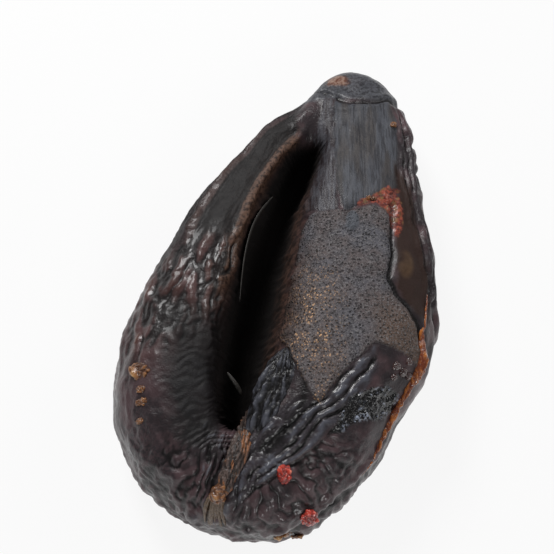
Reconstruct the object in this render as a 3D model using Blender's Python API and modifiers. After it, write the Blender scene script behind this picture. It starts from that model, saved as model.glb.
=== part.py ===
"""A smoke-dried catfish, bent sideways into a closed loop, with its tail pressed against its snout.

The fish lies on its belly with its back up. +Y runs from the bend to the snout, +X towards the head's
side of the loop, and +Z up. Head, trunk and tail go round a deep slot that ends in the belly's wall, so
the body is one skin: a ring of sections, each in an upright plane, fanned out from the slot's line.

Lengths in the tables are in millimetres, and MM turns them into metres.
"""

import math
from collections import namedtuple

import bmesh
import bpy
from mathutils import Vector

MM = 0.001

# The slot's line on its floor, seen from above: from the snout's end to the bend's end, bowed to the tail.
SLOT_SNOUT = Vector((8.6, 56.0))
SLOT_BEND = Vector((-14.9, -52.0))
SLOT_BOW = Vector((-5.5, 0.0))
SLOT_FLOOR = 8.0

# One row for each section, clockwise from the snout. "along" is the share of the slot's line where the
# section starts, and "bearing" the way it points, in degrees clockwise from +Y. "reach" is the distance
# to the outer side, "gap" to the slot's rim, and "lean" how far the slot's wall slopes. "height" is the
# back's height, "crest" the share of the width at which it is highest, "bulge" the height of the widest
# point, and "lift" the belly's height over the surface that the fish lies on.
Section = namedtuple("Section", "name along bearing reach gap lean height crest bulge lift")
SECTIONS = [
    Section("snout_tip", 0.00, 22, 50.5, 10, 5, 27, 0.55, 18, 5),
    Section("snout_side", 0.00, 47, 52.5, 12, 6, 30, 0.50, 17, 3),
    Section("brow", 0.00, 71, 50.0, 12, 5, 33, 0.50, 16, 1),
    Section("eye", 0.12, 85, 54.0, 10, 4, 37, 0.48, 16, 0),
    Section("cheek", 0.30, 88, 65.5, 14, 8, 41, 0.45, 16, 0),
    Section("jaw_joint", 0.48, 91, 72.5, 18, 11, 44, 0.42, 16, 0),
    Section("gill_cover", 0.66, 92, 75.5, 19, 12, 47, 0.42, 16, 0),
    Section("nape", 0.82, 94, 73.0, 16, 10, 48, 0.40, 17, 0),
    Section("shoulder", 0.95, 97, 65.5, 11, 6, 47, 0.38, 17, 0),
    Section("bend_inner", 1.00, 108, 56.5, 8, 3, 46, 0.36, 17, 0),
    Section("bend_head_side", 1.00, 129, 52.0, 7, 2, 44, 0.36, 17, 0),
    Section("bend_low_right", 1.00, 151, 51.0, 6, 2, 42, 0.36, 16, 0),
    Section("bend_low", 1.00, 174, 47.5, 6, 2, 41, 0.36, 16, 0),
    Section("bend_low_left", 1.00, -163, 46.0, 6, 2, 40, 0.36, 16, 0),
    Section("bend_tail_side", 1.00, -134, 46.0, 7, 2, 41, 0.34, 16, 0),
    Section("trunk", 0.95, -111, 49.5, 8, 3, 42, 0.32, 16, 0),
    Section("trunk_middle", 0.82, -99, 53.0, 9, 3, 42, 0.32, 16, 0),
    Section("vent", 0.66, -94, 51.0, 9, 3, 41, 0.34, 16, 0),
    Section("tail_root", 0.48, -93, 46.5, 9, 4, 39, 0.36, 16, 0),
    Section("tail_stalk", 0.30, -95, 42.0, 9, 4, 37, 0.38, 15, 1),
    Section("tail_narrow", 0.12, -98, 38.5, 9, 4, 35, 0.42, 15, 2),
    Section("tail_fan", 0.00, -91, 29.0, 6, 3, 32, 0.45, 15, 3),
    Section("tail_lobe", 0.00, -30, 22.5, 6, 3, 30, 0.50, 16, 4),
    Section("tail_edge", 0.00, 8, 30.5, 7, 3, 28, 0.55, 17, 5),
]

# Where the two sides of the belly meet under the slot it is hollow, and beside that it sags and lies flat.
BELLY_HOLLOW = 3.6
BELLY_SAG = 2.2
SMOOTHING_LEVELS = 2
WELD = 0.00001

SKIN_COLOUR = (0.034, 0.029, 0.030, 1.0)
SKIN_ROUGHNESS = 0.42


def clear_scene():
    for old in list(bpy.data.objects):
        bpy.data.objects.remove(old)


def collection_named(name):
    made = bpy.data.collections.new(name)
    bpy.context.scene.collection.children.link(made)
    return made


def skin_material():
    """Smoke-blackened skin: dark, with a leathery shine."""
    made = bpy.data.materials.new("smoked_skin")
    made.use_nodes = True
    shader = made.node_tree.nodes["Principled BSDF"]
    shader.inputs["Base Color"].default_value = SKIN_COLOUR
    shader.inputs["Roughness"].default_value = SKIN_ROUGHNESS
    shader.inputs["Metallic"].default_value = 0.0
    return made


def slot_point(along):
    """A point of the slot's line: a straight run with a shallow parabola's bow."""
    straight = SLOT_SNOUT.lerp(SLOT_BEND, along)
    return straight + SLOT_BOW * 4.0 * along * (1.0 - along)


def profile(section):
    """One section's outline as (distance from the slot's line, height), from the slot's floor, up its
    wall, over the back, down the flank and back under the belly to below the slot's line."""
    gap, lean, reach = section.gap, section.lean, section.reach
    height, crest, bulge, lift = section.height, section.crest, section.bulge, section.lift
    width = reach - gap
    base = gap - lean
    wall = height - SLOT_FLOOR
    slot_wall = [
        (0.0, SLOT_FLOOR),
        (0.50 * base, SLOT_FLOOR),
        (base + 0.05 * lean, SLOT_FLOOR + 0.22 * wall),
        (base + 0.60 * lean, SLOT_FLOOR + 0.66 * wall),
    ]
    back = [
        (gap + 0.06 * width, 0.965 * height),
        (gap + 0.62 * crest * width, 1.015 * height),
        (gap + (crest + 0.20) * width, height),
        (gap + (crest + 0.43) * width, 0.88 * height),
    ]
    flank = [
        (gap + 0.97 * width, bulge + 0.42 * (height - bulge)),
        (reach, 0.72 * bulge),
        (reach - 0.10 * width, lift + 1.8),
    ]
    belly = [
        (reach - 0.40 * width, lift - BELLY_SAG),
        (0.45 * gap, 0.5 * (lift + BELLY_HOLLOW)),
        (0.0, BELLY_HOLLOW),
    ]
    return slot_wall + back + flank + belly


def section_points(section):
    """The section's outline set up in its own plane."""
    start = slot_point(section.along)
    bearing = math.radians(section.bearing)
    outward = Vector((math.sin(bearing), math.cos(bearing)))
    points = []
    for distance, height in profile(section):
        plan = start + outward * distance
        points.append(Vector((plan.x, plan.y, height)) * MM)
    return points


def fish_cage():
    """The cage: quads between neighbouring sections, welded where opposite sections meet along the
    slot's floor and along the belly's middle."""
    cage = bmesh.new()
    rings = [[cage.verts.new(p) for p in section_points(s)] for s in SECTIONS]
    for ring, following in zip(rings, rings[1:] + rings[:1]):
        for row in range(len(ring) - 1):
            cage.faces.new((ring[row], ring[row + 1], following[row + 1], following[row]))
    bmesh.ops.remove_doubles(cage, verts=cage.verts, dist=WELD)
    bmesh.ops.recalc_face_normals(cage, faces=cage.faces)
    mesh = bpy.data.meshes.new("smoked_fish")
    cage.to_mesh(mesh)
    cage.free()
    return mesh


def resting_plane_cutter(collection):
    """A block whose top is the surface that the fish lies on, which flattens the belly where it sags."""
    depth = 20.0 * MM
    bpy.ops.mesh.primitive_cube_add(size=1.0, location=(0.0, 0.0, -0.5 * depth))
    cutter = bpy.context.object
    cutter.name = "resting_plane_cutter"
    cutter.scale = (0.30, 0.30, depth)
    cutter.hide_render = True
    cutter.display_type = "WIRE"
    for holder in list(cutter.users_collection):
        holder.objects.unlink(cutter)
    collection.objects.link(cutter)
    return cutter


def centre_over_origin(fish):
    """Moves the fish so that the middle of its outline lies over the origin."""
    bpy.context.view_layer.update()
    finished = fish.evaluated_get(bpy.context.evaluated_depsgraph_get())
    corners = [Vector(corner) for corner in finished.bound_box]
    low = Vector(map(min, zip(*corners)))
    high = Vector(map(max, zip(*corners)))
    middle = (low + high) / 2
    fish.location = (-middle.x, -middle.y, 0.0)


def build():
    clear_scene()
    parts = collection_named("smoked_catfish")
    cutters = collection_named("cutters")

    fish = bpy.data.objects.new("smoked_fish", fish_cage())
    parts.objects.link(fish)
    fish.data.materials.append(skin_material())
    fish.data.shade_smooth()

    smooth = fish.modifiers.new("smooth", "SUBSURF")
    smooth.levels = SMOOTHING_LEVELS
    smooth.render_levels = SMOOTHING_LEVELS

    flatten = fish.modifiers.new("flatten_belly", "BOOLEAN")
    flatten.operation = "DIFFERENCE"
    flatten.solver = "EXACT"
    flatten.object = resting_plane_cutter(cutters)

    centre_over_origin(fish)


build()
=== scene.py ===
"""The looks of a smoke-dried catfish bent into a loop: skin, head shield, folds, tissue, floor and light.

The skin is one surface over the same ring of sections as the solid. Lengths in the tables and in every
function on the surface are in millimetres; MM turns them into metres where a mesh is made.
"""

import math
from collections import namedtuple

import bpy
import numpy as np
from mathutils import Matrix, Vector


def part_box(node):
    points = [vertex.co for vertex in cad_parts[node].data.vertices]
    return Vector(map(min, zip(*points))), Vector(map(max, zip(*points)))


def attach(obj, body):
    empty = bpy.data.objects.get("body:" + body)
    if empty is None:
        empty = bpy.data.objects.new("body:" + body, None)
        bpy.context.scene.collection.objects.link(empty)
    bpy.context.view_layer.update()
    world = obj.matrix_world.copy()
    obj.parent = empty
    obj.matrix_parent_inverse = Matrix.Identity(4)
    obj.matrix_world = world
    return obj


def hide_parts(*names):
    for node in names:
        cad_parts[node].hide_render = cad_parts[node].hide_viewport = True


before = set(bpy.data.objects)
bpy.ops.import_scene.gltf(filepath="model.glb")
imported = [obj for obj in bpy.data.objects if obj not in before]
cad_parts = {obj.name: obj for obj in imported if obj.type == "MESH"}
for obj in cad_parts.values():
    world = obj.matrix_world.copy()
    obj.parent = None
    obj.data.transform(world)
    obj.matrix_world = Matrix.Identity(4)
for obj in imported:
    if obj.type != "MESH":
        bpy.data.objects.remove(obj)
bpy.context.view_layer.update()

MM = 0.001
NODE = "smoked_fish"

# The ring of sections, as in the solid: where each starts on the slot's line, its bearing, the reach of
# its outer side, the slot's half gap, the lean of the slot's wall, the back's height, the share of the
# width at which it is highest, the height of the widest point, and the belly's lift.
SLOT_SNOUT = np.array([8.6, 56.0])
SLOT_BEND = np.array([-14.9, -52.0])
SLOT_BOW = np.array([-5.5, 0.0])
SLOT_FLOOR = 8.0
BELLY_HOLLOW = 3.6
BELLY_SAG = 2.2

Section = namedtuple("Section", "name along bearing reach gap lean height crest bulge lift")
SECTIONS = [
    Section("snout_tip", 0.00, 22, 50.5, 10, 5, 27, 0.55, 18, 5),
    Section("snout_side", 0.00, 47, 52.5, 12, 6, 30, 0.50, 17, 3),
    Section("brow", 0.00, 71, 50.0, 12, 5, 33, 0.50, 16, 1),
    Section("eye", 0.12, 85, 54.0, 10, 4, 37, 0.48, 16, 0),
    Section("cheek", 0.30, 88, 65.5, 14, 8, 41, 0.45, 16, 0),
    Section("jaw_joint", 0.48, 91, 72.5, 18, 11, 44, 0.42, 16, 0),
    Section("gill_cover", 0.66, 92, 75.5, 19, 12, 47, 0.42, 16, 0),
    Section("nape", 0.82, 94, 73.0, 16, 10, 48, 0.40, 17, 0),
    Section("shoulder", 0.95, 97, 65.5, 11, 6, 47, 0.38, 17, 0),
    Section("bend_inner", 1.00, 108, 56.5, 8, 3, 46, 0.36, 17, 0),
    Section("bend_head_side", 1.00, 129, 52.0, 7, 2, 44, 0.36, 17, 0),
    Section("bend_low_right", 1.00, 151, 51.0, 6, 2, 42, 0.36, 16, 0),
    Section("bend_low", 1.00, 174, 47.5, 6, 2, 41, 0.36, 16, 0),
    Section("bend_low_left", 1.00, -163, 46.0, 6, 2, 40, 0.36, 16, 0),
    Section("bend_tail_side", 1.00, -134, 46.0, 7, 2, 41, 0.34, 16, 0),
    Section("trunk", 0.95, -111, 49.5, 8, 3, 42, 0.32, 16, 0),
    Section("trunk_middle", 0.82, -99, 53.0, 9, 3, 42, 0.32, 16, 0),
    Section("vent", 0.66, -94, 51.0, 9, 3, 41, 0.34, 16, 0),
    Section("tail_root", 0.48, -93, 46.5, 9, 4, 39, 0.36, 16, 0),
    Section("tail_stalk", 0.30, -95, 42.0, 9, 4, 37, 0.38, 15, 1),
    Section("tail_narrow", 0.12, -98, 38.5, 9, 4, 35, 0.42, 15, 2),
    Section("tail_fan", 0.00, -91, 29.0, 6, 3, 32, 0.45, 15, 3),
    Section("tail_lobe", 0.00, -30, 22.5, 6, 3, 30, 0.50, 16, 4),
    Section("tail_edge", 0.00, 8, 30.5, 7, 3, 28, 0.55, 17, 5),
]

# Rows of a section's outline are numbered from 0 on the slot's floor, over the back, to the belly's seam.
ROW_RIM, ROW_CREST, ROW_SEAM = 4, 6, 13

# The mesh's lines: between two sections, and between rows, dense where the back is seen.
LINES_BETWEEN_SECTIONS = 26
LINES_BETWEEN_ROWS = [3, 4, 9, 15, 15, 15, 17, 18, 19, 17, 11, 7, 6]


# ---- Mathematics on whole arrays ----
def smoothstep(low, high, x):
    """0 below low, 1 above high, and between them 3t² − 2t³ of the share t of the way."""
    t = np.clip((x - low) / (high - low), 0.0, 1.0)
    return t * t * (3.0 - 2.0 * t)


def between(value, low, high, fade):
    """1 from low to high, fading to 0 over the fade on either side."""
    return smoothstep(low - fade, low + fade, value) * (1.0 - smoothstep(high - fade, high + fade, value))


def bell(distance, width):
    """The bell curve e^−(d/w)²: 1 on the line, fading to nothing in about twice the width."""
    return np.exp(-((distance / width) ** 2))


def scramble(cell, seed):
    """A random number of 0 to 1 for each whole-numbered cell, by mixing its bits."""
    mix = cell[..., 0] * 374761393 + cell[..., 1] * 668265263 + cell[..., 2] * 1274126177
    mix = (mix + seed * 974634777) & 0xFFFFFFFF
    mix = ((mix ^ (mix >> 13)) * 1103515245) & 0xFFFFFFFF
    mix = ((mix ^ (mix >> 16)) * 2246822519) & 0xFFFFFFFF
    return ((mix ^ (mix >> 15)) & 0xFFFFFF) / float(0x1000000)


def lattice_noise(points, seed):
    """Gradient noise from about -1 to 1: at each corner of a unit lattice a random slope, times the way
    from that corner, blended across the cell by the weights 6t⁵ − 15t⁴ + 10t³."""
    cell = np.floor(points).astype(np.int64)
    t = points - cell
    smooth = t * t * t * (t * (6.0 * t - 15.0) + 10.0)
    total = np.zeros(points.shape[:-1])
    for corner in np.ndindex(2, 2, 2):
        turn = 2.0 * math.pi * scramble(cell + corner, seed)
        height = 2.0 * scramble(cell + corner, seed + 5077) - 1.0
        flat = np.sqrt(1.0 - height * height)
        way = t - corner
        slope = way[..., 0] * flat * np.cos(turn) + way[..., 1] * flat * np.sin(turn) + way[..., 2] * height
        weight = np.prod(np.abs(1.0 - np.array(corner) - smooth), -1)
        total += weight * slope
    return 1.7 * total


def rough_noise(points, seed, octaves=3):
    """Lattice noise summed over octaves, each twice as fine and half as strong as the last."""
    total = np.zeros(points.shape[:-1])
    for octave in range(octaves):
        total += lattice_noise(points * 2.0**octave, seed + octave) * 0.5**octave
    return total / (2.0 - 0.5 ** (octaves - 1))


def billows(points, seed, octaves=2):
    """Rounded swellings between sharp creases: the noise's size, so 0 on the creases."""
    return np.abs(rough_noise(points, seed, octaves))


def in_plan(a, b):
    """Coordinates for noise that varies in two directions only."""
    return np.stack([a, b, 0 * a], -1)


def tapered(share, start, stop):
    """1 along a route, rising from 0 over its first start shares and falling to 0 from the stop share."""
    return smoothstep(0.0, start, share) * (1.0 - smoothstep(stop, 1.0, share))


def line_distance(x, y, route):
    """For points in plan, the distance to a route of straight runs, the share of the route at the nearest
    point, and the side (+1 on the left of its direction)."""
    route = np.array(route, float)
    runs = np.diff(route, axis=0)
    lengths = np.linalg.norm(runs, axis=1)
    starts = np.concatenate([[0.0], np.cumsum(lengths)])
    best = np.full(x.shape, 1e9)
    share = np.zeros(x.shape)
    side = np.ones(x.shape)
    for start, run, length, before in zip(route, runs, lengths, starts):
        across = x - start[0], y - start[1]
        t = np.clip((across[0] * run[0] + across[1] * run[1]) / length**2, 0.0, 1.0)
        gap = np.hypot(across[0] - t * run[0], across[1] - t * run[1])
        nearer = gap < best
        best = np.where(nearer, gap, best)
        share = np.where(nearer, (before + t * length) / starts[-1], share)
        side = np.where(nearer, np.sign(run[0] * across[1] - run[1] * across[0]), side)
    return best, share, side


def in_radii(x, y, centre, radii):
    """For points in plan, how far they are from an oval's centre: 1 on the oval itself."""
    return np.hypot((x - centre[0]) / radii[0], (y - centre[1]) / radii[1])


def region(x, y, outline):
    """For points in plan, the distance to a closed outline, positive inside it."""
    closed = list(outline) + [outline[0]]
    distance, _, _ = line_distance(x, y, closed)
    inside = np.zeros(x.shape, bool)
    for (x0, y0), (x1, y1) in zip(closed, closed[1:]):
        crosses = (y0 > y) != (y1 > y)
        rise = y1 - y0 if y1 != y0 else 1e-9
        inside ^= crosses & (x < (x1 - x0) * (y - y0) / rise + x0)
    return np.where(inside, distance, -distance)


def spline_weights(t):
    """The four weights of a uniform cubic B-spline at the share t of a span."""
    middle = 3 * t**3 - 6 * t**2 + 4, -3 * t**3 + 3 * t**2 + 3 * t + 1
    return np.stack([(1 - t) ** 3, *middle, t**3], -1) / 6.0


def spline_surface(cage, u, v):
    """The uniform cubic B-spline surface over a cage of (sections, rows): closed round the sections, and
    ending on the first and last row, beyond which a mirrored row is added."""
    sections, rows = cage.shape[:2]
    first = 2 * cage[:, :1] - cage[:, 1:2]
    last = 2 * cage[:, -1:] - cage[:, -2:-1]
    padded = np.concatenate([first, cage, last], 1)
    span_u = np.floor(u).astype(int)
    span_v = np.minimum(np.floor(v).astype(int), rows - 2)
    weights_u = spline_weights(u - span_u)
    weights_v = spline_weights(v - span_v)
    lines = sum(weights_u[:, k, None, None] * padded[(span_u + k - 1) % sections] for k in range(4))
    return sum(weights_v[None, :, k, None] * lines[:, span_v + k] for k in range(4))


# ---- The skin's surface ----
def profile(section):
    """One section's outline as (distance from the slot's line, height), the solid's own."""
    gap, lean, reach = section.gap, section.lean, section.reach
    height, crest, bulge, lift = section.height, section.crest, section.bulge, section.lift
    width = reach - gap
    base = gap - lean
    wall = height - SLOT_FLOOR
    return [
        (0.0, SLOT_FLOOR),
        (0.50 * base, SLOT_FLOOR),
        (base + 0.05 * lean, SLOT_FLOOR + 0.22 * wall),
        (base + 0.60 * lean, SLOT_FLOOR + 0.66 * wall),
        (gap + 0.06 * width, 0.965 * height),
        (gap + 0.62 * crest * width, 1.015 * height),
        (gap + (crest + 0.20) * width, height),
        (gap + (crest + 0.43) * width, 0.88 * height),
        (gap + 0.97 * width, bulge + 0.42 * (height - bulge)),
        (reach, 0.72 * bulge),
        (reach - 0.10 * width, lift + 1.8),
        (reach - 0.40 * width, lift - BELLY_SAG),
        (0.45 * gap, 0.5 * (lift + BELLY_HOLLOW)),
        (0.0, BELLY_HOLLOW),
    ]


def cage_points():
    """The cage: each section's outline set up in its own upright plane."""
    rings = []
    for section in SECTIONS:
        share = section.along
        start = SLOT_SNOUT + (SLOT_BEND - SLOT_SNOUT) * share + SLOT_BOW * 4.0 * share * (1.0 - share)
        bearing = math.radians(section.bearing)
        outward = np.array([math.sin(bearing), math.cos(bearing)])
        outline = np.array(profile(section))
        rings.append(np.column_stack([start + outline[:, :1] * outward, outline[:, 1]]))
    return np.array(rings)


def over_the_solid(points):
    """Shifts points in plan so that their outline's middle is the solid's."""
    low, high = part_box(NODE)
    middle = np.array([(low.x + high.x) / 2, (low.y + high.y) / 2]) / MM
    flat = points.reshape(-1, 3)
    own = (flat.min(0) + flat.max(0))[:2] / 2
    return points + np.append(middle - own, 0.0)


class Skin:
    """The undisplaced skin on its grid, with everything the relief and the masks are worked out from."""

    def __init__(self):
        lines = LINES_BETWEEN_SECTIONS * len(SECTIONS)
        self.u = np.arange(lines) / LINES_BETWEEN_SECTIONS
        spans = [row + np.arange(n) / n for row, n in enumerate(LINES_BETWEEN_ROWS)]
        self.v = np.append(np.concatenate(spans), float(ROW_SEAM))
        self.points = over_the_solid(spline_surface(cage_points(), self.u, self.v))
        self.normals = self.measure_normals(self.points)
        self.x, self.y, self.z = np.moveaxis(self.points, -1, 0)
        self.row = np.broadcast_to(self.v, self.x.shape)
        self.section = np.broadcast_to(self.u[:, None], self.x.shape)
        back = np.argmin(np.abs(self.v - ROW_CREST))
        step = np.linalg.norm(np.roll(self.points[:, back], -1, 0) - self.points[:, back], axis=-1)
        self.along = np.broadcast_to((np.cumsum(step) - step[0])[:, None], self.x.shape)
        rise = np.linalg.norm(np.diff(self.points, axis=1), axis=-1)
        rise = np.concatenate([np.zeros((lines, 1)), np.cumsum(rise, 1)], 1)
        rim = np.argmin(np.abs(self.v - ROW_RIM))
        self.across = rise - rise[:, rim : rim + 1]
        self.upper = smoothstep(2.2, 3.4, self.row) * (1.0 - smoothstep(9.6, 10.8, self.row))
        self.seam_fade = smoothstep(0.0, 1.2, self.row) * (1.0 - smoothstep(12.0, 13.0, self.row))
        self.round_fade = between(self.section, 0.4, len(SECTIONS) - 0.4, 0.4)

    @staticmethod
    def measure_normals(points):
        """Outward unit normals: the cross product of the surface's steps across and along."""
        along = np.roll(points, -1, 0) - np.roll(points, 1, 0)
        across = np.gradient(points, axis=1)
        normal = np.cross(across, along)
        length = np.linalg.norm(normal, axis=-1, keepdims=True)
        normal = normal / np.maximum(length, 1e-9)
        if np.mean(normal[:, len(points[0]) // 2, 2]) < 0:
            normal = -normal
        normal[:, 0], normal[:, -1] = (0.0, 0.0, 1.0), (0.0, 0.0, -1.0)
        return normal

    def on_skin(self, place, above=0.0):
        """The shaped skin's point for a place on the undisplaced one, moved out by above, and its normal."""
        nearest = np.unravel_index(np.argmin(np.sum((self.points - place) ** 2, -1)), self.x.shape)
        return self.shaped[nearest] + above * self.normals[nearest], self.normals[nearest]


# ---- Places on the fish, in plan ----
HEAD_SHIELD = [
    (17.7, 27), (8, 29), (4, 14), (1, 4), (-4, -4), (-8, -14), (-9, -24), (-7, -33), (4, -31),
    (8.6, -40), (12.5, -48), (15.4, -52), (19.5, -46.5), (25, -40), (31, -34), (36, -29), (42, -30),
    (49, -32.5), (54, -36), (56, -28), (54, -20), (50, -13), (45, -8), (42.5, -3), (44, 5), (44.8, 14),
    (44.5, 25), (38, 29), (30, 27),
]
FRONT_PLATE = [
    (23.6, 81), (34, 78), (46, 80.5), (48.5, 69), (48.5, 52), (47, 35), (40.5, 33.5), (35, 30),
    (29.5, 28), (26.5, 26), (24, 36), (23.5, 51), (23.3, 67),
]
SIDE_PLATE = [
    (20, 81), (17, 68), (13, 60), (10, 48), (9.5, 31), (17.7, 27), (24, 27), (24, 36), (23.5, 51),
    (23.3, 67), (23.6, 81),
]
NAPE = [
    (36, -29), (31, -34), (25, -40), (15.4, -52), (8, -50), (-6, -56), (-12, -64), (-18, -84), (-15, -90),
    (-9, -83), (-3, -79), (5, -74), (14, -67), (22, -59), (31, -50), (38, -38),
]
CHEEK = [(47, 50), (48, 34), (46, 20), (46, 4), (46, -6), (53, -16), (58, -18), (58, 0), (56, 20), (53, 40)]
BURNT_PATCH = [
    (27, -50), (35, -46), (43, -45), (48, -47), (46, -53), (38, -57), (31, -57), (24, -62), (20, -63),
]
RED_TISSUE = [
    (33, 31), (40, 34), (44, 38), (47, 35), (49, 28), (48.5, 20), (46.5, 16), (44.5, 22), (43, 28),
    (38, 30),
]
# Ovals, each as its centre and its radii. A nostril has its height too, and a hollow only one radius.
SCAB = ((29.2, 21.5), (2.5, 4.6))
CHEEK_OVAL = ((49.3, 4.0), (3.4, 6.4))
NOSTRILS = [((23.6, 77.5), (1.1, 3.6), 0.7), ((38.2, 77.5), (1.0, 2.2), 0.6), ((46.9, 67.8), (1.8, 2.2), 1.1)]
HOLLOWS = [((4.0, 85.0), 11.0), ((50.0, -52.0), 14.0)]

SNOUT_CREASE = [(19, 85), (23, 81.5), (30, 79), (38, 79), (46, 81.5), (50, 80)]
PLATE_EDGE = [(23.8, 80), (23.3, 67), (23.5, 51), (24.2, 36), (26.5, 26)]
PLATE_END = [(26.5, 26), (29.5, 28.5), (35, 30.5), (40, 34), (45, 36), (48, 37)]
SHIELD_GROOVE = [(45, 30), (44.6, 14), (44, 5), (42.5, -3), (45, -8), (50, -13.5), (54, -20), (55.5, -28)]
EDGE_FOLDS = [
    [(49, 79), (51.5, 66), (53, 50), (54.5, 34), (56.5, 16), (58, 0), (58.5, -14)],
    [(51.5, 77), (54, 64), (55.6, 48), (57.2, 30), (59.3, 12), (60.5, -6), (60, -20)],
    [(50.5, 60), (51.5, 45), (53, 32), (55, 18)],
]
NAPE_RIDGES = [
    [(37, -31), (30, -38), (21, -48), (14, -55), (9, -59), (1, -66.5), (-7, -73), (-14, -80)],
    [(38, -37), (31, -44), (24, -51), (14, -59.5), (4, -68), (-6, -76.5), (-13, -86)],
    [(25, -55.5), (14, -64.5), (5, -71), (-4, -78), (-10, -83)],
]
NAPE_GROOVES = [
    [(34, -31.5), (26, -39.5), (18, -49), (12.5, -53.5), (6, -58.5), (-1, -63.5), (-8.5, -70)],
    [(38, -34), (31, -41), (23, -49.5), (14, -57.3), (3, -67.2), (-6, -74.5), (-12, -81.5)],
    [(31, -47.5), (23, -54.5), (14, -62), (5, -69.6), (-5, -77.3), (-11.5, -85)],
    [(24, -59.5), (15, -67.5), (6, -74), (-3, -79.5), (-10, -83.5), (-16, -90)],
]
LOBE_EDGE = [(4.5, -30.5), (9.5, -36), (10.8, -43), (9.5, -52), (5.0, -60.5), (-3.5, -69)]
PALE_LINE = [(23, -58), (14, -66), (5, -72.6), (-3, -78), (-8, -80.5)]
SLIT_FLESH_ROUTE = [
    (57.2, -6.5, 36.5), (56.6, -15.8, 37.0), (55.2, -24.7, 36.8), (54.2, -30.8, 36.0), (53.2, -36.7, 34.5),
    (51.5, -42.6, 33.0), (48.9, -48.4, 32.9), (45.4, -54.1, 32.8), (42.3, -59.2, 31.8), (38.9, -64.6, 30.2),
    (35.5, -69.5, 28.7), (31.8, -74.8, 26.6),
]
SLIT_LINE = [
    (60.5, -8), (61.5, -22), (59, -38), (52, -52), (41, -66), (30, -78), (19, -88), (5, -96), (-6, -98.5),
]
ARCH_SPINE = [(-18, -74), (-21.5, -88)]


# ---- The skin's relief ----
def pleats(phase):
    """Rounded ridges with sharp creases: the size of a sine, raised to a power below 1. One a unit."""
    return np.abs(np.sin(math.pi * phase)) ** 0.7


def folded(s, size_along, size_across, seed, warp=0.35, octaves=3):
    """Swellings between sharp creases, of the given sizes along the fish and across it: billows of the
    distances along and across, each bent a little by broad noise. About -0.3 in the creases."""
    bent = warp * rough_noise(s.points / 14.0, seed + 50)[..., None]
    place = in_plan(s.along / size_along, s.across / size_across) + bent
    return s.round_fade * (billows(place, seed, octaves) - 0.3)


def head_relief(s):
    """The bony head: the shield's grooves, the plates' steps, the snout's crease and the nostrils."""
    wobble = s.wobble
    crease, _, _ = line_distance(s.x + wobble, s.y + wobble, SNOUT_CREASE)
    lift = -1.0 * bell(crease, 1.3) + 0.35 * bell(crease - 2.6, 1.6)
    edge, _, side = line_distance(s.x + 0.6 * wobble, s.y, PLATE_EDGE)
    lift += 0.55 * smoothstep(-1.4, 1.4, -side * edge) * bell(edge, 7.0) - 0.45 * bell(edge, 0.9)
    end, _, _ = line_distance(s.x, s.y + wobble, PLATE_END)
    lift -= 0.8 * bell(end, 1.2)
    plate = region(s.x, s.y, FRONT_PLATE)
    lift += smoothstep(-1.0, 1.2, plate) * (0.4 + 0.45 * rough_noise(in_plan(s.x / 4.5, s.y / 40.0), 35, 2))
    groove, _, _ = line_distance(s.x + 0.8 * wobble, s.y, SHIELD_GROOVE)
    lift -= 1.6 * bell(groove, 1.1)
    shield = region(s.x, s.y, HEAD_SHIELD)
    lift += smoothstep(-0.8, 1.0, shield + 0.6 * wobble) * (0.5 + 0.35 * rough_noise(s.points / 4.5, 37, 3))
    scab = in_radii(s.x, s.y, *SCAB)
    lift += 0.8 * (1.0 - smoothstep(0.75, 1.15, scab + 0.1 * wobble)) - 0.5 * bell(scab - 1.2, 0.16)
    for centre, radii, height in NOSTRILS:
        lift += height * bell(in_radii(s.x, s.y, centre, radii), 0.8)
    lift += 1.1 * bell(in_radii(s.x, s.y, *CHEEK_OVAL), 0.9)
    for fold in EDGE_FOLDS:
        gap, share, _ = line_distance(s.x + wobble, s.y, fold)
        lift += (1.2 * bell(gap - 1.4, 0.8) - 1.7 * bell(gap, 0.7)) * tapered(share, 0.12, 0.85)
    tissue = smoothstep(-0.8, 1.0, region(s.x, s.y, RED_TISSUE) + wobble)
    lift += tissue * (2.6 * billows(s.points / 3.4, 39, 3) - 0.4)
    return lift * s.upper


def nape_relief(s):
    """The folded skin behind the head, drawn out along the bend: a few drawn ridges and grooves, with
    finer folds of the same direction between them."""
    wander = s.wobble + 2.2 * lattice_noise(s.points / 11.0, 58)
    lift = np.zeros(s.x.shape)
    for ridge in NAPE_RIDGES:
        gap, share, _ = line_distance(s.x + wander, s.y, ridge)
        swell = 0.6 + 0.7 * lattice_noise(s.points / 7.0, 61)
        lift += swell * bell(gap, 2.3) * smoothstep(0.0, 0.1, share)
    for groove in NAPE_GROOVES:
        gap, share, _ = line_distance(s.x + wander, s.y, groove)
        lift -= 1.5 * bell(gap, 0.7) * tapered(share, 0.06, 0.92)
    down, aside = (s.x + s.y) / math.sqrt(2.0), (s.x - s.y) / math.sqrt(2.0)
    fine = in_plan(down / 12.0, aside / 3.0) + 0.35 * rough_noise(s.points / 7.0, 63)[..., None]
    lift += 2.6 * (billows(fine, 64, 3) - 0.28)
    gap, _, _ = line_distance(s.x + 0.5 * s.wobble, s.y, PALE_LINE)
    lift += 0.7 * bell(gap, 0.7)
    return lift * s.upper * s.nape


def burnt_relief(s):
    """The charred patch is sunken, with small angular blisters."""
    blisters = billows(s.points / 2.6, 71, 2)
    return s.burnt * (3.2 * blisters - 1.6) * s.upper


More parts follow.
